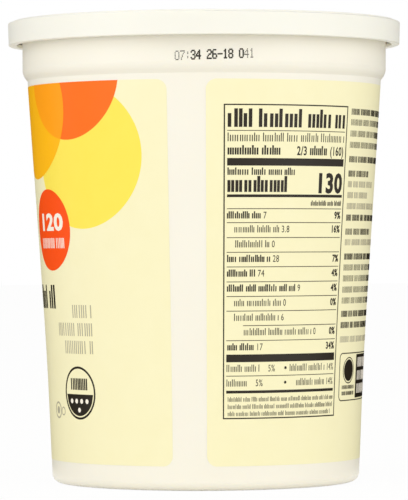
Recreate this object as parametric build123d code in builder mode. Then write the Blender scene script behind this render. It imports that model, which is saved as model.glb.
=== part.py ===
from build123d import *

import os
from math import radians, tan

# Family-size yogurt pot: a tapered, thin-walled tub shut by a press-on cap.
#
# The pot is shut and opaque, so the tub is one solid up to the underside of the cap, and the
# cap is the thin shell that snaps over the tub's rim. Millimetres, +Z up, with the origin at
# the centre of the base, on the surface that the pot stands on.

# ---- driving dimensions: tub ----------------------------------------------------------
SHOULDER_Z = 120.4          # where the tapered wall runs into the shoulder
SHOULDER_R = 53.1           # wall radius at that height
WALL_DRAFT = 3.84           # taper of the wall above the bend, degrees
BEND_Z = 37.0               # height at which the wall turns a little steeper
BEND_ROUND = 1200.0         # long, barely visible curve that eases that turn
FOOT_DRAFT = 2.3            # taper of the wall below the bend, degrees
HEEL_ROUND = 2.6            # rounding between wall and base
HEEL_LIFT = 0.35            # the foot rises this much from the contact ring to the heel
FOOT_R = 41.8               # outside of the flat contact ring that the pot stands on
FOOT_WIDTH = 3.0
FOOT_ROUND = 2.0
BASE_RECESS = 1.8           # how far the base panel is lifted off the table
BASE_STEP_RUN = 1.2         # radial run of the step up to the base panel
BASE_ROUND = 0.6            # roundings of that step
GATE_PAD_R = 6.0            # disc round the moulding gate, in the base panel
GATE_PAD_STEP = 0.4
COLLAR_R = 54.6             # straight band above the shoulder
COLLAR_CORNER_Z = 122.35    # where the band and the underside of the shoulder would meet
COLLAR_ROUND = 4.0          # rounding of that corner
CREASE_ROUND = 0.35         # inside corner where shoulder meets wall
FLANGE_R = 57.4             # outside of the rim that the cap snaps over
FLANGE_DEPTH = 4.5          # height of that rim
FLANGE_ROUND = 0.6
MOUTH_R = 53.6              # inside of the rim

# ---- driving dimensions: cap ----------------------------------------------------------
CAP_TOP_Z = 138.2           # overall height of the shut pot
CAP_WALL = 1.2
CAP_R = 58.9                # skirt radius just under the top
SKIRT_FOOT_R = 58.7         # skirt radius at its lower edge
SKIRT_FOOT_Z = 131.0
LEDGE_DROP = 0.5            # small ledge round the top edge of the skirt
LEDGE_WIDTH = 1.3
EDGE_ROUND = 0.3            # the cap's small outer edges
SNAP_R = 56.4               # inside of the snap bead, under the tub's rim
SNAP_HEIGHT = 1.2
WELL_R = 52.3               # recess in the cap, at the top of its wall
WELL_DEPTH = 3.6
WELL_TAPER = 0.7            # how much narrower the recess is at its floor
WELL_ROUND = 0.9
STACK_RING_R = 46.4         # raised ring that centres the pot stacked on top
STACK_RING_WIDTH = 2.4
STACK_RING_HEIGHT = 0.7
CAP_GATE_R = 4.0            # dished disc round the cap's moulding gate
CAP_GATE_DEPTH = 0.35
FIT_GAP = 0.15              # clearance between cap and rim

# ---- worked-out dimensions ------------------------------------------------------------
BEND_R = SHOULDER_R - (SHOULDER_Z - BEND_Z) * tan(radians(WALL_DRAFT))
HEEL_R = BEND_R - (BEND_Z - HEEL_LIFT) * tan(radians(FOOT_DRAFT))
FOOT_INNER_R = FOOT_R - FOOT_WIDTH
BASE_PANEL_R = FOOT_INNER_R - BASE_STEP_RUN
RIM_TOP_Z = CAP_TOP_Z - CAP_WALL
FLANGE_Z = RIM_TOP_Z - FLANGE_DEPTH
CAP_FLOOR_Z = CAP_TOP_Z - WELL_DEPTH
FILL_Z = CAP_FLOOR_Z - CAP_WALL
LEDGE_R = CAP_R - LEDGE_WIDTH
LEDGE_Z = CAP_TOP_Z - LEDGE_DROP
PLUG_R = MOUTH_R - FIT_GAP
STACK_RING_INNER_R = STACK_RING_R - STACK_RING_WIDTH

# ---- outlines: (radius, height, corner rounding), once round each closed section ----------
TUB_SECTION = [
    (0, BASE_RECESS + GATE_PAD_STEP, 0),
    (GATE_PAD_R, BASE_RECESS + GATE_PAD_STEP, 0),
    (GATE_PAD_R + GATE_PAD_STEP, BASE_RECESS, 0),
    (BASE_PANEL_R, BASE_RECESS, BASE_ROUND),
    (FOOT_INNER_R, 0, BASE_ROUND),
    (FOOT_R, 0, FOOT_ROUND),
    (HEEL_R, HEEL_LIFT, HEEL_ROUND),
    (BEND_R, BEND_Z, BEND_ROUND),
    (SHOULDER_R, SHOULDER_Z, CREASE_ROUND),
    (COLLAR_R, COLLAR_CORNER_Z, COLLAR_ROUND),
    (COLLAR_R, FLANGE_Z, CREASE_ROUND),
    (FLANGE_R, FLANGE_Z, FLANGE_ROUND),
    (FLANGE_R, RIM_TOP_Z, FLANGE_ROUND),
    (MOUTH_R, RIM_TOP_Z, 0),
    (MOUTH_R, FILL_Z, 0),
    (0, FILL_Z, 0),
]

CAP_SECTION = [
    (0, FILL_Z, 0),
    (PLUG_R - WELL_TAPER, FILL_Z, WELL_ROUND),
    (PLUG_R, RIM_TOP_Z, 0),
    (FLANGE_R + FIT_GAP, RIM_TOP_Z, 0),
    (FLANGE_R + FIT_GAP, SKIRT_FOOT_Z + SNAP_HEIGHT, 0),
    (SNAP_R, SKIRT_FOOT_Z + SNAP_HEIGHT, EDGE_ROUND),
    (SNAP_R, SKIRT_FOOT_Z, EDGE_ROUND),
    (SKIRT_FOOT_R, SKIRT_FOOT_Z, EDGE_ROUND),
    (CAP_R, LEDGE_Z, EDGE_ROUND),
    (LEDGE_R, LEDGE_Z, 0),
    (LEDGE_R, CAP_TOP_Z, EDGE_ROUND),
    (WELL_R, CAP_TOP_Z, WELL_ROUND),
    (WELL_R - WELL_TAPER, CAP_FLOOR_Z, WELL_ROUND),
    (STACK_RING_R, CAP_FLOOR_Z, 0),
    (STACK_RING_R - STACK_RING_HEIGHT, CAP_FLOOR_Z + STACK_RING_HEIGHT, EDGE_ROUND),
    (STACK_RING_INNER_R + STACK_RING_HEIGHT, CAP_FLOOR_Z + STACK_RING_HEIGHT, EDGE_ROUND),
    (STACK_RING_INNER_R, CAP_FLOOR_Z, 0),
    (CAP_GATE_R + CAP_GATE_DEPTH, CAP_FLOOR_Z, 0),
    (CAP_GATE_R, CAP_FLOOR_Z - CAP_GATE_DEPTH, 0),
    (0, CAP_FLOOR_Z - CAP_GATE_DEPTH, 0),
]


def outline(section):
    """Draw a closed section with its corner roundings, inside the current BuildLine."""
    corners = [(radius, height) for radius, height, _ in section]
    roundings = [rounding for _, _, rounding in section]
    return FilletPolyline(*corners, radius=roundings, close=True)


with BuildPart() as tub:
    with BuildSketch(Plane.XZ):
        with BuildLine():
            outline(TUB_SECTION)
        make_face()
    revolve(axis=Axis.Z)

with BuildPart() as cap:
    with BuildSketch(Plane.XZ):
        with BuildLine():
            outline(CAP_SECTION)
        make_face()
    revolve(axis=Axis.Z)

os.makedirs("parts", exist_ok=True)

tub.part.label = "tub"
export_step(tub.part, "parts/tub.step")

cap.part.label = "cap"
export_step(cap.part, "parts/cap.step")
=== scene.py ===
import math
import random

import bmesh
import bpy
from mathutils import Matrix, Vector


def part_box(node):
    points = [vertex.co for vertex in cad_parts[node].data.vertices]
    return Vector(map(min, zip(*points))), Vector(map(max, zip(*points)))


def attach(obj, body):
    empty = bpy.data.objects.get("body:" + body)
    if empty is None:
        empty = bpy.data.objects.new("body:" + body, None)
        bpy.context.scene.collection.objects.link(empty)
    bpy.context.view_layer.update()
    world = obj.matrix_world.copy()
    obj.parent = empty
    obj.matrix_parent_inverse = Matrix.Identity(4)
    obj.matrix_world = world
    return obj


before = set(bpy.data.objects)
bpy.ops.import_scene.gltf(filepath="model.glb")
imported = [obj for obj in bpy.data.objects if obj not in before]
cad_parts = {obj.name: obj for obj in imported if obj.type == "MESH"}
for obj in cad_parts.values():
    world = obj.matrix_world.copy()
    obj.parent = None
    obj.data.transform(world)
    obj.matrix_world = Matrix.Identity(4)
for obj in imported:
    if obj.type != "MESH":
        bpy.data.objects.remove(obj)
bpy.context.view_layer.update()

MM = 0.001
CAP_LOW, CAP_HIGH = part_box("cap")
SKIRT_FOOT = CAP_LOW.z / MM


# ---- colours and nodes ------------------------------------------------------------------
def linear(code):
    """An sRGB hex colour as the linear RGBA that shaders take."""
    channels = [int(code[i:i + 2], 16) / 255 for i in (1, 3, 5)]
    return tuple(c / 12.92 if c <= 0.04045 else ((c + 0.055) / 1.055) ** 2.4
                 for c in channels) + (1.0,)


def add_node(tree, kind, values=None, links=None, **settings):
    """Add one node with its settings, socket values and incoming links."""
    made = tree.nodes.new(kind)
    for name, value in settings.items():
        setattr(made, name, value)
    for socket, value in (values or {}).items():
        made.inputs[socket].default_value = value
    for socket, source in (links or {}).items():
        tree.links.new(source, made.inputs[socket])
    return made


def new_material(name):
    """An empty node material, with its tree and its output node."""
    material = bpy.data.materials.new(name)
    material.use_nodes = True
    tree = material.node_tree
    tree.nodes.clear()
    return material, tree, add_node(tree, "ShaderNodeOutputMaterial")


GLOSS_LOW, GLOSS_HIGH = -0.04, 0.05      # how far the roughness strays, cloud to cloud
MIX_FACTOR, MIX_FIRST, MIX_SECOND, MIX_RESULT = 0, 6, 7, 2      # a mix node's colour sockets


def plastic_skin(name, colour, shade, cloud_mm, grain_mm, relief_mm, roughness, ior, milk, shine):
    """A thin plastic or ink skin: clouded colour, uneven gloss and a fine surface grain.

    cloud_mm is the size of the soft patches where the colour turns to shade, grain_mm the
    spacing of the surface texture and relief_mm its depth. milk is how much light spreads
    under the surface, and shine how strongly it mirrors.
    """
    material, tree, output = new_material(name)
    place = add_node(tree, "ShaderNodeTexCoord").outputs["Object"]
    cloud = add_node(tree, "ShaderNodeTexNoise", {"Scale": 1 / (cloud_mm * MM), "Detail": 3.0},
                     {"Vector": place}).outputs["Fac"]
    tint = add_node(tree, "ShaderNodeMix", {MIX_FIRST: linear(colour), MIX_SECOND: linear(shade)},
                    {MIX_FACTOR: cloud}, data_type="RGBA")
    gloss = add_node(tree, "ShaderNodeMapRange",
                     {"To Min": roughness + GLOSS_LOW, "To Max": roughness + GLOSS_HIGH},
                     {"Value": cloud})
    grain = add_node(tree, "ShaderNodeTexNoise", {"Scale": 1 / (grain_mm * MM), "Detail": 2.0},
                     {"Vector": place})
    relief = add_node(tree, "ShaderNodeBump", {"Strength": 0.35, "Distance": relief_mm * MM},
                      {"Height": grain.outputs["Fac"]})
    skin = add_node(tree, "ShaderNodeBsdfPrincipled",
                    {"IOR": ior, "Specular IOR Level": shine, "Subsurface Weight": milk,
                     "Subsurface Scale": 2 * MM, "Subsurface Radius": (1.0, 0.8, 0.5)},
                    {"Base Color": tint.outputs[MIX_RESULT], "Roughness": gloss.outputs["Result"],
                     "Normal": relief.outputs["Normal"]})
    tree.links.new(skin.outputs["BSDF"], output.inputs["Surface"])
    return material


# Injection-moulded polypropylene, as the tub is: a warm off-white that light enters a little,
# with a satin skin from the mould.
TUB_PLASTIC = plastic_skin("moulded_polypropylene", "#F4F0E3", "#F1ECDE", cloud_mm=28, grain_mm=0.7,
                           relief_mm=0.02, roughness=0.36, ior=1.49, milk=0.1, shine=0.4)
# Injection-moulded low-density polyethylene, as the cap is: cooler and waxier than the tub, so
# its highlights are softer.
CAP_PLASTIC = plastic_skin("moulded_polyethylene", "#F3F1E7", "#F0EEE3", cloud_mm=30, grain_mm=0.7,
                           relief_mm=0.02, roughness=0.42, ior=1.51, milk=0.1, shine=0.4)


def printed_ink(name, colour, shade, shine=0.2):
    """UV-cured dry-offset ink: a thin film, a little glossier than the plastic under it.

    Its cover is slightly uneven, which shows as faint clouds a few millimetres across.
    """
    return plastic_skin(name, colour, shade, cloud_mm=6, grain_mm=0.5, relief_mm=0.01,
                        roughness=0.34, ior=1.5, milk=0.0, shine=shine)


INKS = {
    "pale_yellow": printed_ink("dry_offset_ink_pale_yellow", "#F6F0C8", "#F4EDC1"),
    "lemon": printed_ink("dry_offset_ink_lemon", "#FCE65A", "#FAE252"),
    "amber": printed_ink("dry_offset_ink_amber", "#FFBC04", "#FDB702"),
    "tangerine": printed_ink("dry_offset_ink_tangerine", "#FFA204", "#FD9D02"),
    "vermilion": printed_ink("dry_offset_ink_vermilion", "#FF7110", "#FC6C0C"),
    "scarlet": printed_ink("dry_offset_ink_scarlet", "#FE5304", "#FA4F02"),
    "white": printed_ink("dry_offset_ink_white", "#FAF3E6", "#F7EFDF"),
    # a little shinier than the colours, so that its bars show the curve of the wall
    "black": printed_ink("dry_offset_ink_black", "#231D14", "#2A2318", shine=0.25),
    "warm_grey": printed_ink("dry_offset_ink_warm_grey", "#B4AE96", "#ADA78F"),
    # solvent ink from a continuous ink-jet coder, which dries as small dark grey dots
    "coder": printed_ink("ink_jet_coder_ink", "#2B2820", "#363228"),
}

# How far each ink stands off the wall, millimetres. Inks that overlap have layers of their own.
LAYERS = {
    "pale_yellow": 0.02, "lemon": 0.035, "vermilion": 0.05, "amber": 0.065, "tangerine": 0.08,
    "scarlet": 0.08, "white": 0.095, "black": 0.05, "warm_grey": 0.05, "coder": 0.02,
}


# ---- the print: drawn flat in millimetres, then wrapped round the wall ---------------------
# Across is the arc length at a reference radius, 0 at the front and growing to the right, so
# that the print narrows with the taper as the real one does. Up is the height over the base.
REFERENCE_R = 50.0
AROUND = 2 * math.pi * REFERENCE_R
FACET = 1.2                 # widest piece of film left flat, across
TALLEST = 8.0               # tallest piece of film left flat, upwards
WELD = 0.002                # corners nearer than this are one corner
SAME = 1e-6                 # places nearer than this are one place
FILM = 0.04                 # thickness of a film, part of which is sunk in the wall
ROUND_STEPS = 10            # steps in a quarter of a printed circle

LABEL_TOP = 118.6
LABEL_FOOT = 7.3
HEEL_TOP = 3.0              # above the tub's rounded heel its widest points are on its wall
films = {ink: bmesh.new() for ink in INKS}


def outer_wall():
    """The tub's outer radius at each height, in millimetres, read from its CAD node."""
    rings = {}
    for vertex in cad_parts["tub"].data.vertices:
        height = round(vertex.co.z / MM, 2)
        radius = math.hypot(vertex.co.x, vertex.co.y) / MM
        rings[height] = max(radius, rings.get(height, 0.0))
    return sorted((h, r) for h, r in rings.items() if HEEL_TOP < h < SKIRT_FOOT)


WALL = outer_wall()


def wall_radius(height):
    """The outer radius between two of the wall's rings."""
    below = WALL[0]
    for above in WALL:
        if above[0] >= height:
            break
        below = above
    span = above[0] - below[0]
    share = (height - below[0]) / span if span else 0.0
    return below[1] + share * (above[1] - below[1])


def patch(ink, corners):
    """One flat piece of film."""
    film = films[ink]
    film.faces.new([film.verts.new((across, up, 0.0)) for across, up in corners])


def steps(start, end, longest):
    """Even steps from start to end, none over the given length."""
    count = max(1, math.ceil(abs(end - start) / longest))
    return [start + (end - start) * i / count for i in range(count + 1)]


def strip(ink, stations, low, high):
    """Film between two edges, low and high, which are functions of the place across."""
    tallest = max(high(a) - low(a) for a in stations)
    rows = max(1, math.ceil(tallest / TALLEST))
    for left, right in zip(stations, stations[1:]):
        for row in range(rows):
            corners = []
            for across, share in ((left, row), (right, row), (right, row + 1), (left, row + 1)):
                up = low(across) + (high(across) - low(across)) * share / rows
                if not corners or math.dist(corners[-1], (across, up)) > SAME:
                    corners.append((across, up))
            if math.dist(corners[0], corners[-1]) < SAME:
                corners.pop()
            if len(corners) > 2:
                patch(ink, corners)


def bar(ink, left, right, foot, top):
    """A plain rectangle."""
    strip(ink, steps(left, right, FACET), lambda a: foot, lambda a: top)


def disc_stations(centre, radius):
    """Places across a circle, closer together towards its sides."""
    count = 6 * ROUND_STEPS
    return [centre - radius * math.cos(math.pi * i / count) for i in range(count + 1)]


def half_chord(across, centre, radius):
    """Half the height of a circle at a place across it."""
    return math.sqrt(max(0.0, radius**2 - (across - centre) ** 2))


def disc(ink, centre, middle, radius, ceiling=LABEL_TOP):
    """A filled circle, cut off level at the ceiling."""
    strip(ink, disc_stations(centre, radius),
          lambda a: min(ceiling, middle - half_chord(a, centre, radius)),
          lambda a: min(ceiling, middle + half_chord(a, centre, radius)))


def ring(ink, centre, middle, radius, width, start=0, turn=360):
    """A circular line, or an arc of one. start and turn are in degrees."""
    count = max(2, round(4 * ROUND_STEPS * abs(turn) / 360))
    inner = radius - width
    angles = [math.radians(start + turn * i / count) for i in range(count + 1)]
    for a, b in zip(angles, angles[1:]):
        patch(ink, [(centre + r * math.cos(t), middle + r * math.sin(t))
                    for r, t in ((radius, a), (radius, b), (inner, b), (inner, a))])


def rounded_frame(ink, left, right, foot, top, corner, width):
    """The outline of a box with rounded corners."""
    bar(ink, left + corner, right - corner, top - width, top)
    bar(ink, left + corner, right - corner, foot, foot + width)
    bar(ink, left, left + width, foot + corner, top - corner)
    bar(ink, right - width, right, foot + corner, top - corner)
    inner_left, inner_right = left + corner, right - corner
    inner_foot, inner_top = foot + corner, top - corner
    for centre, middle, start in ((inner_right, inner_top, 0), (inner_left, inner_top, 90),
                                  (inner_left, inner_foot, 180), (inner_right, inner_foot, 270)):
        ring(ink, centre, middle, corner, width, start, 90)


STROKE_PITCH = 0.27         # from one stroke to the next, as a share of their height
SHORT_STROKE = 0.74         # height of the short strokes, as a share of the tall ones
TALL_SHARE = 0.3            # how many strokes are tall
WORD_GAP = 1.1              # extra steps between words
WORD_LENGTHS = (5, 15)      # strokes in the shortest and the longest word
STROKE_GAPS = (0.9, 1.0, 1.0, 1.25)


def dummy_words(ink, left, right, foot, height, stroke, seed, capitals=False):
    """Stands in for a line of words: upright strokes in word-long groups, nothing to read.

    stroke is the share of each step that is inked. The groups fill the line from end to end.
    """
    draw = random.Random(seed)
    pitch = height * STROKE_PITCH
    places = []
    across = 0.0
    word_end = 0
    while across < right - left:
        if len(places) == word_end:
            across += pitch * WORD_GAP if places else 0.0
            word_end += draw.randint(*WORD_LENGTHS)
        tall = capitals or draw.random() < TALL_SHARE
        places.append((across, tall))
        across += pitch * draw.choice(STROKE_GAPS)
    width = pitch * stroke
    stretch = (right - left - width) / max(places[-1][0], pitch)
    for across, tall in places:
        start = left + across * stretch
        bar(ink, start, start + width, foot, foot + height * (1.0 if tall else SHORT_STROKE))


DIGIT_HEIGHT = 0.729        # of the built-in face, for a size of 1
DIGIT_SPACING = 1.08


def numerals(ink, text, place, foot, height, width, bold=0.0, align="LEFT"):
    """Plain numbers of the given height, set from, back from or about a place across.

    width squeezes or widens them, and bold thickens their strokes.
    """
    curve = bpy.data.curves.new("numerals", "FONT")
    curve.body = text
    curve.align_x = align
    curve.offset = bold
    curve.resolution_u = 3
    curve.space_character = DIGIT_SPACING
    holder = bpy.data.objects.new("numerals", curve)
    flat = bpy.data.meshes.new_from_object(holder)
    scale = height / DIGIT_HEIGHT
    glyphs = bmesh.new()
    glyphs.from_mesh(flat)
    for vertex in glyphs.verts:
        vertex.co = (place + vertex.co.x * scale * width, foot + vertex.co.y * scale, 0.0)
    # cut in narrow columns, so that the numerals can follow the round wall
    span = [vertex.co.x for vertex in glyphs.verts]
    for across in steps(min(span), max(span), FACET)[1:-1]:
        everything = glyphs.verts[:] + glyphs.edges[:] + glyphs.faces[:]
        bmesh.ops.bisect_plane(glyphs, geom=everything, plane_co=(across, 0, 0), plane_no=(1, 0, 0))
    film = films[ink]
    for face in glyphs.faces:
        film.faces.new([film.verts.new(vertex.co) for vertex in face.verts])
    glyphs.free()
    bpy.data.objects.remove(holder)
    bpy.data.curves.remove(curve)
    bpy.data.meshes.remove(flat)


# ---- the label's ground and its overlapping discs ------------------------------------------
GAP_LEFT = -10.3            # the ground runs right round the tub but for this bare stripe
GAP_RIGHT = 0.4
GROUND_CORNER = 3.0


def ground():
    """The pale ground, with rounded corners beside the bare stripe."""
    left, right = GAP_RIGHT, GAP_LEFT + AROUND

    def inset(across):
        near = min(across - left, right - across)
        if near >= GROUND_CORNER:
            return 0.0
        return GROUND_CORNER - math.sqrt(GROUND_CORNER**2 - (GROUND_CORNER - near) ** 2)

    corner = [GROUND_CORNER * (1 - math.cos(math.pi / 2 * i / ROUND_STEPS))
              for i in range(ROUND_STEPS)]
    stations = [left + c for c in corner]
    stations += steps(left + GROUND_CORNER, right - GROUND_CORNER, FACET)
    stations += [right - c for c in reversed(corner)]
    strip("pale_yellow", stations, lambda a: LABEL_FOOT + inset(a), lambda a: LABEL_TOP - inset(a))


# each disc: its centre across, its middle upwards and its radius
LEMON_DISC = (-39.3, 97.3, 21.4)
VERMILION_DISC = (-44.0, 121.6, 19.7)
AMBER_DISC = (-66.0, 111.8, 21.0)


def disc_edge(across, circle, side):
    """The upper (side 1) or lower (side -1) edge of a disc at a place across it."""
    centre, middle, radius = circle
    return middle + side * half_chord(across, centre, radius)


def overlapping_discs():
    """Three plain discs cut off by the label's top edge, with one overlap in a fourth ink."""
    disc("lemon", *LEMON_DISC)
    disc("vermilion", *VERMILION_DISC)
    disc("amber", *AMBER_DISC)
    shared = [a for a in disc_stations(AMBER_DISC[0], AMBER_DISC[2])
              if abs(a - VERMILION_DISC[0]) <= VERMILION_DISC[2]]
    strip("tangerine", shared,
          lambda a: min(LABEL_TOP, max(disc_edge(a, VERMILION_DISC, -1), disc_edge(a, AMBER_DISC, -1))),
          lambda a: min(LABEL_TOP, max(disc_edge(a, VERMILION_DISC, -1), disc_edge(a, AMBER_DISC, 1))))


def badge(centre, middle, radius):
    """A filled disc with a plain number and a line of dummy words in white."""
    disc("scarlet", centre, middle, radius)
    numerals("white", "120", centre + 0.2, middle, 4.9, 1.55, 0.04, "CENTER")
    dummy_words("white", centre - 7.4, centre + 8.6, middle - 5.4, 3.0, 0.5, 11, capitals=True)


def stamp(centre, middle, radius):
    """A round stamp: a ring, a dark lower half with pale dots in it, upright strokes above."""
    line = 0.65
    ring("black", centre, middle, radius, line)
    inner = radius - line - 0.4
    level = -0.4
    reach = half_chord(level, 0.0, inner)
    strip("black", steps(centre - reach, centre + reach, 0.6),
          lambda a: middle - half_chord(a, centre, inner), lambda a: middle + level)
    for place in (-1.5, -0.5, 0.5, 1.5):
        disc("white", centre + place * 2.6, middle - 2.4, 0.7)
    disc("white", centre, middle - 5.0, 0.7)
    dummy_words("black", centre - 4.2, centre + 4.2, middle + 0.9, 3.4, 0.62, 27, capitals=True)


def front_panel():
    """The name panel: a line of large dummy words, three small grey lines and a stamp."""
    dummy_words("black", -103.8, -56.8, 52.5, 7.0, 0.66, 21)
    small_right = -37.6
    for foot, width, seed in ((49.9, 8.8, 22), (44.6, 17.6, 23), (39.4, 14.0, 24)):
        dummy_words("warm_grey", small_right - width, small_right, foot, 3.8, 0.42, seed, capitals=True)
    stamp(-45.1, 27.9, 7.8)
    ring("warm_grey", -59.0, 22.5, 2.5, 0.5)
    disc("warm_grey", -59.0, 22.5, 1.1)
    ring("warm_grey", -55.0, 22.3, 1.3, 0.35)


# ---- the table of figures ------------------------------------------------------------------
TABLE_LEFT, TABLE_RIGHT = 5.3, 46.4
TABLE_FOOT, TABLE_TOP = 20.9, 111.4
FRAME_LINE = 0.36
TEXT_LEFT, TEXT_RIGHT = 6.4, 45.1
RULE = 0.2
RULE_LEFT, RULE_RIGHT = TEXT_LEFT - 0.1, TEXT_RIGHT + 0.3
HEAVY_BARS = ((93.75, 95.9), (84.7, 85.5), (37.3, 39.5), (28.3, 29.1))
# each row: height of the rule over it, where it starts, end of its words, bold, number, share
TABLE_ROWS = (
    (81.4, 6.3, 16.2, True, "7", "9"),
    (77.4, 8.5, 22.0, False, "3.8", "16"),
    (73.1, 8.8, 19.0, False, "0", ""),
    (68.9, 6.4, 19.4, True, "28", "7"),
    (64.7, 6.4, 14.8, True, "74", "4"),
    (60.4, 6.4, 28.0, True, "9", "4"),
    (56.2, 8.6, 23.2, False, "0", "0"),
    (52.0, 8.6, 22.6, False, "6", ""),
    (47.8, 11.6, 34.6, False, "0", "0"),
    (43.5, 6.6, 14.7, True, "17", "34"),
)
ROW_DROP = 2.8              # from a rule to the foot of the letters under it
ROW_HEIGHT = 2.05
DEEP_INDENT = 10.0          # a row that starts beyond this has a short rule over it


def table_of_figures():
    """A framed table: heavy head, ruled rows with numbers at the right, fine print below."""
    for left in (TABLE_LEFT, TABLE_RIGHT - FRAME_LINE):
        bar("black", left, left + FRAME_LINE, TABLE_FOOT, TABLE_TOP)
    for foot in (TABLE_FOOT, TABLE_TOP - FRAME_LINE):
        bar("black", TABLE_LEFT + FRAME_LINE, TABLE_RIGHT - FRAME_LINE, foot, foot + FRAME_LINE)
    dummy_words("black", TEXT_LEFT, 28.4, 104.8, 5.3, 0.7, 31)
    dummy_words("black", 30.6, TEXT_RIGHT, 104.8, 5.3, 0.7, 32)
    dummy_words("black", TEXT_LEFT, TEXT_RIGHT, 100.7, 2.5, 0.4, 33)
    dummy_words("black", TEXT_LEFT, 21.8, 96.9, 2.7, 0.66, 34)
    dummy_words("black", 31.6, 37.9, 96.9, 2.7, 0.66, 35)
    numerals("black", "2/3", 30.6, 96.9, 2.6, 0.72, 0.02, "RIGHT")
    numerals("black", "(160)", TEXT_RIGHT, 96.9, 2.6, 0.72, 0.02, "RIGHT")
    dummy_words("black", TEXT_LEFT, 26.6, 91.1, 2.1, 0.64, 36)
    dummy_words("black", TEXT_LEFT, 24.2, 86.2, 4.6, 0.7, 37)
    numerals("black", "130", TEXT_RIGHT, 86.2, 5.6, 0.9, 0.04, "RIGHT")
    dummy_words("black", 32.6, TEXT_RIGHT, 82.3, 1.5, 0.6, 38)
    for foot, top in HEAVY_BARS:
        bar("black", RULE_LEFT, RULE_RIGHT, foot, top)
    for foot in (103.7, 33.2):
        bar("black", RULE_LEFT, RULE_RIGHT, foot, foot + RULE)
    for row, (rule, start, end, bold, number, share) in enumerate(TABLE_ROWS):
        foot = rule - ROW_DROP
        rule_start = start - 0.3 if start > DEEP_INDENT else RULE_LEFT
        bar("black", rule_start, RULE_RIGHT, rule - RULE / 2, rule + RULE / 2)
        dummy_words("black", start, end, foot, ROW_HEIGHT, 0.66 if bold else 0.44, 40 + row)
        numerals("black", number, end + 0.8, foot, ROW_HEIGHT, 0.72)
        if share:
            numerals("black", share + "%", TEXT_RIGHT, foot, ROW_HEIGHT, 0.8, 0.035, "RIGHT")
    for foot, split, resume, seed in ((34.5, 19.6, 26.9, 60), (30.3, 15.6, 29.4, 62)):
        dummy_words("black", TEXT_LEFT, split - 3.0, foot, ROW_HEIGHT, 0.42, seed)
        numerals("black", "5%", split + 2.2, foot, ROW_HEIGHT, 0.68, 0.0, "RIGHT")
        disc("black", 25.4, foot + 1.0, 0.42)
        dummy_words("black", resume, 40.8, foot, ROW_HEIGHT, 0.42, seed + 1)
        numerals("black", "14%", TEXT_RIGHT, foot, ROW_HEIGHT, 0.68, 0.0, "RIGHT")
    for foot, right, seed in ((25.9, 45.3, 64), (23.8, 45.0, 65), (21.75, 44.0, 66)):
        dummy_words("black", TEXT_LEFT + 0.4, right, foot, 1.35, 0.45, seed)


# ---- the narrow column beside the table ----------------------------------------------------
COLUMN_LEFT = 48.3
# each line: its foot, its right end, its ink and its stroke weight
COLUMN_LINES = (
    (109.0, 86.0, "black", 0.62), (105.9, 87.0, "black", 0.4), (102.6, 85.0, "black", 0.4),
    (99.3, 86.5, "black", 0.4), (95.1, 84.0, "black", 0.6), (90.9, 62.0, "black", 0.6),
    (87.8, 67.0, "warm_grey", 0.6), (84.6, 62.0, "warm_grey", 0.6), (81.4, 71.0, "warm_grey", 0.6),
    (78.0, 76.0, "black", 0.62), (73.9, 68.0, "black", 0.5), (70.8, 84.0, "warm_grey", 0.6),
    (66.6, 86.0, "black", 0.62), (63.4, 86.5, "black", 0.36), (60.2, 87.0, "black", 0.36),
    (56.9, 86.0, "black", 0.36), (53.7, 80.0, "black", 0.36), (49.8, 85.0, "black", 0.62),
    (46.5, 74.0, "black", 0.62), (42.3, 84.0, "warm_grey", 0.6),
)


def side_column():
    """Twenty lines of dummy capitals over a framed emblem and a dark panel."""
    for row, (foot, right, ink, stroke) in enumerate(COLUMN_LINES):
        dummy_words(ink, COLUMN_LEFT, right, foot, 1.8, stroke, 80 + row, capitals=True)
    rounded_frame("black", 48.7, 84.0, 25.0, 39.2, 1.6, 0.3)
    disc("black", 54.8, 34.0, 3.2)
    ring("black", 54.8, 34.0, 3.9, 0.3)
    dummy_words("black", 50.6, 59.2, 28.5, 1.1, 0.5, 110, capitals=True)
    dummy_words("black", 50.6, 59.2, 26.7, 1.1, 0.6, 111, capitals=True)
    bar("black", 60.8, 83.4, 25.7, 38.6)
    for row in range(3):
        dummy_words("white", 62.2, 82.0, 27.0 + row * 3.9, 2.8, 0.4, 112 + row, capitals=True)


# ---- the far side: plain blocks in the same manner ------------------------------------------
LADDER_LEFT, LADDER_RIGHT = 100.0, 126.0
LADDER_FOOT, LADDER_TOP = 16.0, 36.0
LADDER_BARS = (0.35, 0.35, 0.7, 1.0)
LADDER_GAPS = (0.4, 0.4, 0.8)


def far_side():
    """A block of dummy lines, a ladder of bars and two discs that the label's top cuts off."""
    disc("lemon", 150.0, 104.0, 19.0)
    disc("amber", 128.0, 116.0, 16.0)
    for row in range(7):
        dummy_words("black", 116.0, 172.0 - 6.0 * (row % 3), 76.0 - row * 4.4, 2.3, 0.42, 130 + row)
    draw = random.Random(7)
    across = LADDER_LEFT
    while across < LADDER_RIGHT:
        width = draw.choice(LADDER_BARS)
        bar("black", across, across + width, LADDER_FOOT, LADDER_TOP)
        across += width + draw.choice(LADDER_GAPS)


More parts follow.
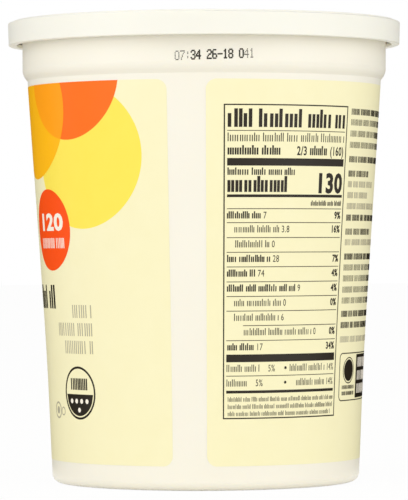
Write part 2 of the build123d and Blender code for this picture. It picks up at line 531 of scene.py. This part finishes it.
# ---- the date and batch numbers, jetted on the collar ------------------------------------------
DOT_ROWS = {
    "0": "01110 10001 10001 10001 10001 10001 01110",
    "1": "00100 01100 00100 00100 00100 00100 01110",
    "2": "01110 10001 00001 00110 01000 10000 11111",
    "3": "01110 10001 00001 00110 00001 10001 01110",
    "4": "00010 00110 01010 10010 11111 00010 00010",
    "6": "01110 10000 10000 11110 10001 10001 01110",
    "7": "11111 00001 00010 00100 00100 01000 01000",
    "8": "01110 10001 10001 01110 10001 10001 01110",
    ":": "00000 00100 00100 00000 00100 00100 00000",
    "-": "00000 00000 00000 11111 00000 00000 00000",
    " ": "00000 00000 00000 00000 00000 00000 00000",
}
CODE = "07:34 26-18 041"
FAINT = (0, 1, 2, 13, 14)   # characters that the coder's jet printed thin
CODE_LEFT, CODE_FOOT = -7.6, 123.95
CODE_PITCH = 1.41           # from one character to the next
DOT_ACROSS, DOT_UP = 0.245, 0.40
CODE_CLIMB = 0.035          # the line climbs to the right
DOT_R, FAINT_DOT_R = 0.23, 0.15
DOT_SIDES = 10


def batch_code():
    """A line of dot-matrix numerals that climbs a little to the right."""
    turns = [math.tau * i / DOT_SIDES for i in range(DOT_SIDES)]
    for place, character in enumerate(CODE):
        radius = FAINT_DOT_R if place in FAINT else DOT_R
        for row, pattern in enumerate(reversed(DOT_ROWS[character].split())):
            for column in (i for i, mark in enumerate(pattern) if mark == "1"):
                across = CODE_LEFT + place * CODE_PITCH + column * DOT_ACROSS
                up = CODE_FOOT + row * DOT_UP + (across - CODE_LEFT) * CODE_CLIMB
                patch("coder", [(across + radius * math.cos(t), up + radius * math.sin(t))
                                for t in turns])


# ---- laying the films and the plastics on the CAD -------------------------------------------
def wrap(ink):
    """Lay one ink's flat film on the tub and give it its thickness."""
    film = films[ink]
    bmesh.ops.remove_doubles(film, verts=film.verts, dist=WELD)
    lift = LAYERS[ink]
    for vertex in film.verts:
        across, up, _ = vertex.co
        angle = across / REFERENCE_R
        radius = (wall_radius(up) + lift) * MM
        vertex.co = (radius * math.sin(angle), -radius * math.cos(angle), up * MM)
    for edge in film.edges:
        edge.smooth = not edge.is_boundary      # the film's rim must not tilt its shading
    for face in film.faces:
        face.smooth = True
        face.normal_update()
        centre = face.calc_center_median()
        if face.normal.x * centre.x + face.normal.y * centre.y < 0:
            face.normal_flip()
    mesh = bpy.data.meshes.new("print_" + ink)
    film.to_mesh(mesh)
    film.free()
    mesh.materials.append(INKS[ink])
    piece = bpy.data.objects.new("print_" + ink, mesh)
    bpy.context.scene.collection.objects.link(piece)
    body = piece.modifiers.new("film", "SOLIDIFY")
    body.thickness = FILM * MM
    body.offset = -1.0
    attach(piece, "root")


def dress_cad(node, material):
    """Give a CAD node its plastic."""
    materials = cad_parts[node].data.materials
    materials.clear()
    materials.append(material)


# ---- stage, in metres: floor, surroundings, two flags, two soft boxes, camera ----------------
AMBIENT = 0.69
SOFT_BOX_POWER = 8.2
SOFT_BOX_SIZE = (1.1, 1.5)
SOFT_BOX_DISTANCE = 1.35
SOFT_BOX_ANGLE = 54.0       # degrees to either side of the front
SOFT_BOX_HEIGHT = 0.55
FLOOR_SIZE = 12.0
FLOOR_WHITE = 0.95          # share of the floor that looks white to the camera, the rest is lit
FLAG_GAP = 0.085            # from the middle of the scene to a flag's near edge
FLAG_WIDTH = 0.6
FLAG_HEIGHT = 0.6
FLAG_BEHIND = 0.22
LIP_GAP = 0.063             # the flag's foot lies on the floor, up to just beside the pot
LIP_FRONT = -0.03
LIP_LIFT = 0.0005


def background_rays(tree):
    """1 for the rays that show the background: the camera's, reflections and see-through ones."""
    ray = add_node(tree, "ShaderNodeLightPath").outputs
    seen = add_node(tree, "ShaderNodeMath", links={0: ray["Is Camera Ray"], 1: ray["Is Glossy Ray"]},
                    operation="MAXIMUM")
    seen = add_node(tree, "ShaderNodeMath", links={0: seen.outputs[0], 1: ray["Is Transmission Ray"]},
                    operation="MAXIMUM")
    return seen.outputs[0]


def white_floor():
    """A pale floor that reads white and still keeps the pot's soft shadow."""
    bpy.ops.mesh.primitive_plane_add(size=FLOOR_SIZE)
    floor = bpy.context.object
    floor.name = "floor"
    material, tree, output = new_material("pale_floor")
    share = add_node(tree, "ShaderNodeMath", {1: FLOOR_WHITE}, {0: background_rays(tree)},
                     operation="MULTIPLY")
    lit = add_node(tree, "ShaderNodeBsdfDiffuse", {"Color": linear("#F6F5F0")})
    white = add_node(tree, "ShaderNodeEmission", {"Color": linear("#FFFFFF"), "Strength": 1.0})
    mixed = add_node(tree, "ShaderNodeMixShader", links={
        0: share.outputs[0], 1: lit.outputs[0], 2: white.outputs[0]})
    tree.links.new(mixed.outputs[0], output.inputs["Surface"])
    floor.data.materials.append(material)


def white_surroundings():
    """Even light from all round, and plain white where the camera sees past the pot."""
    world = bpy.data.worlds.new("studio")
    bpy.context.scene.world = world
    world.use_nodes = True
    tree = world.node_tree
    tree.nodes.clear()
    glow = add_node(tree, "ShaderNodeBackground", {"Color": linear("#FFFFFF"), "Strength": AMBIENT})
    white = add_node(tree, "ShaderNodeBackground", {"Color": linear("#FFFFFF"), "Strength": 1.0})
    mixed = add_node(tree, "ShaderNodeMixShader", links={
        0: background_rays(tree), 1: glow.outputs[0], 2: white.outputs[0]})
    output = add_node(tree, "ShaderNodeOutputWorld")
    tree.links.new(mixed.outputs[0], output.inputs["Surface"])


def black_flag(name, side):
    """A black card behind the pot, just out of view, that only reflections meet.

    It keeps the pot's edges from fading into the white and the inks there from paling.
    """
    near = side * FLAG_GAP
    far = side * (FLAG_GAP + FLAG_WIDTH)
    card = bpy.data.meshes.new(name)
    lip = side * LIP_GAP
    card.from_pydata(
        [(near, FLAG_BEHIND, 0), (far, FLAG_BEHIND, 0),
         (far, FLAG_BEHIND, FLAG_HEIGHT), (near, FLAG_BEHIND, FLAG_HEIGHT),
         (lip, LIP_FRONT, LIP_LIFT), (far, LIP_FRONT, LIP_LIFT),
         (far, FLAG_BEHIND, LIP_LIFT), (lip, FLAG_BEHIND, LIP_LIFT)],
        [], [(0, 1, 2, 3), (4, 5, 6, 7)])
    material, tree, output = new_material(name + "_cloth")
    cloth = add_node(tree, "ShaderNodeBsdfDiffuse", {"Color": linear("#101010")})
    tree.links.new(cloth.outputs["BSDF"], output.inputs["Surface"])
    card.materials.append(material)
    flag = bpy.data.objects.new(name, card)
    bpy.context.scene.collection.objects.link(flag)
    flag.visible_camera = False
    flag.visible_diffuse = False
    flag.visible_shadow = False
    flag.visible_transmission = False


def soft_box(name, angle):
    """A large soft box, aimed at the middle of the pot."""
    light = bpy.data.lights.new(name, "AREA")
    light.shape = "RECTANGLE"
    light.size, light.size_y = SOFT_BOX_SIZE
    light.energy = SOFT_BOX_POWER
    lamp = bpy.data.objects.new(name, light)
    bpy.context.scene.collection.objects.link(lamp)
    turn = math.radians(angle)
    lamp.location = (SOFT_BOX_DISTANCE * math.sin(turn), -SOFT_BOX_DISTANCE * math.cos(turn),
                     SOFT_BOX_HEIGHT)
    aim = Vector((0, 0, CAP_HIGH.z / 2)) - lamp.location
    lamp.rotation_euler = aim.to_track_quat("-Z", "Y").to_euler()


CAMERA_DISTANCE = 1.037
CAMERA_HEIGHT = 0.0696
CAMERA_ASIDE = -0.00027
CAMERA_ROLL = math.radians(-0.24)
LENS = 248.0                # millimetres, before a sensor 36 wide


def camera():
    """A long lens, level with the middle of the pot and rolled a quarter of a degree."""
    lens = bpy.data.cameras.new("camera")
    lens.lens = LENS
    lens.sensor_width = 36.0
    holder = bpy.data.objects.new("camera", lens)
    bpy.context.scene.collection.objects.link(holder)
    level = Matrix.Rotation(math.pi / 2, 4, "X")
    holder.matrix_world = (Matrix.Translation((CAMERA_ASIDE, -CAMERA_DISTANCE, CAMERA_HEIGHT))
                           @ level @ Matrix.Rotation(CAMERA_ROLL, 4, "Z"))
    bpy.context.scene.camera = holder


# ---- the whole pot, then its stage -----------------------------------------------------------
dress_cad("tub", TUB_PLASTIC)
dress_cad("cap", CAP_PLASTIC)
ground()
overlapping_discs()
badge(-57.2, 75.7, 12.0)
front_panel()
table_of_figures()
side_column()
far_side()
batch_code()
for ink_name in INKS:
    wrap(ink_name)
white_floor()
white_surroundings()
black_flag("flag_left", -1)
black_flag("flag_right", 1)
soft_box("soft_box_left", -SOFT_BOX_ANGLE)
soft_box("soft_box_right", SOFT_BOX_ANGLE)
camera()
bpy.context.scene.view_settings.view_transform = "Standard"
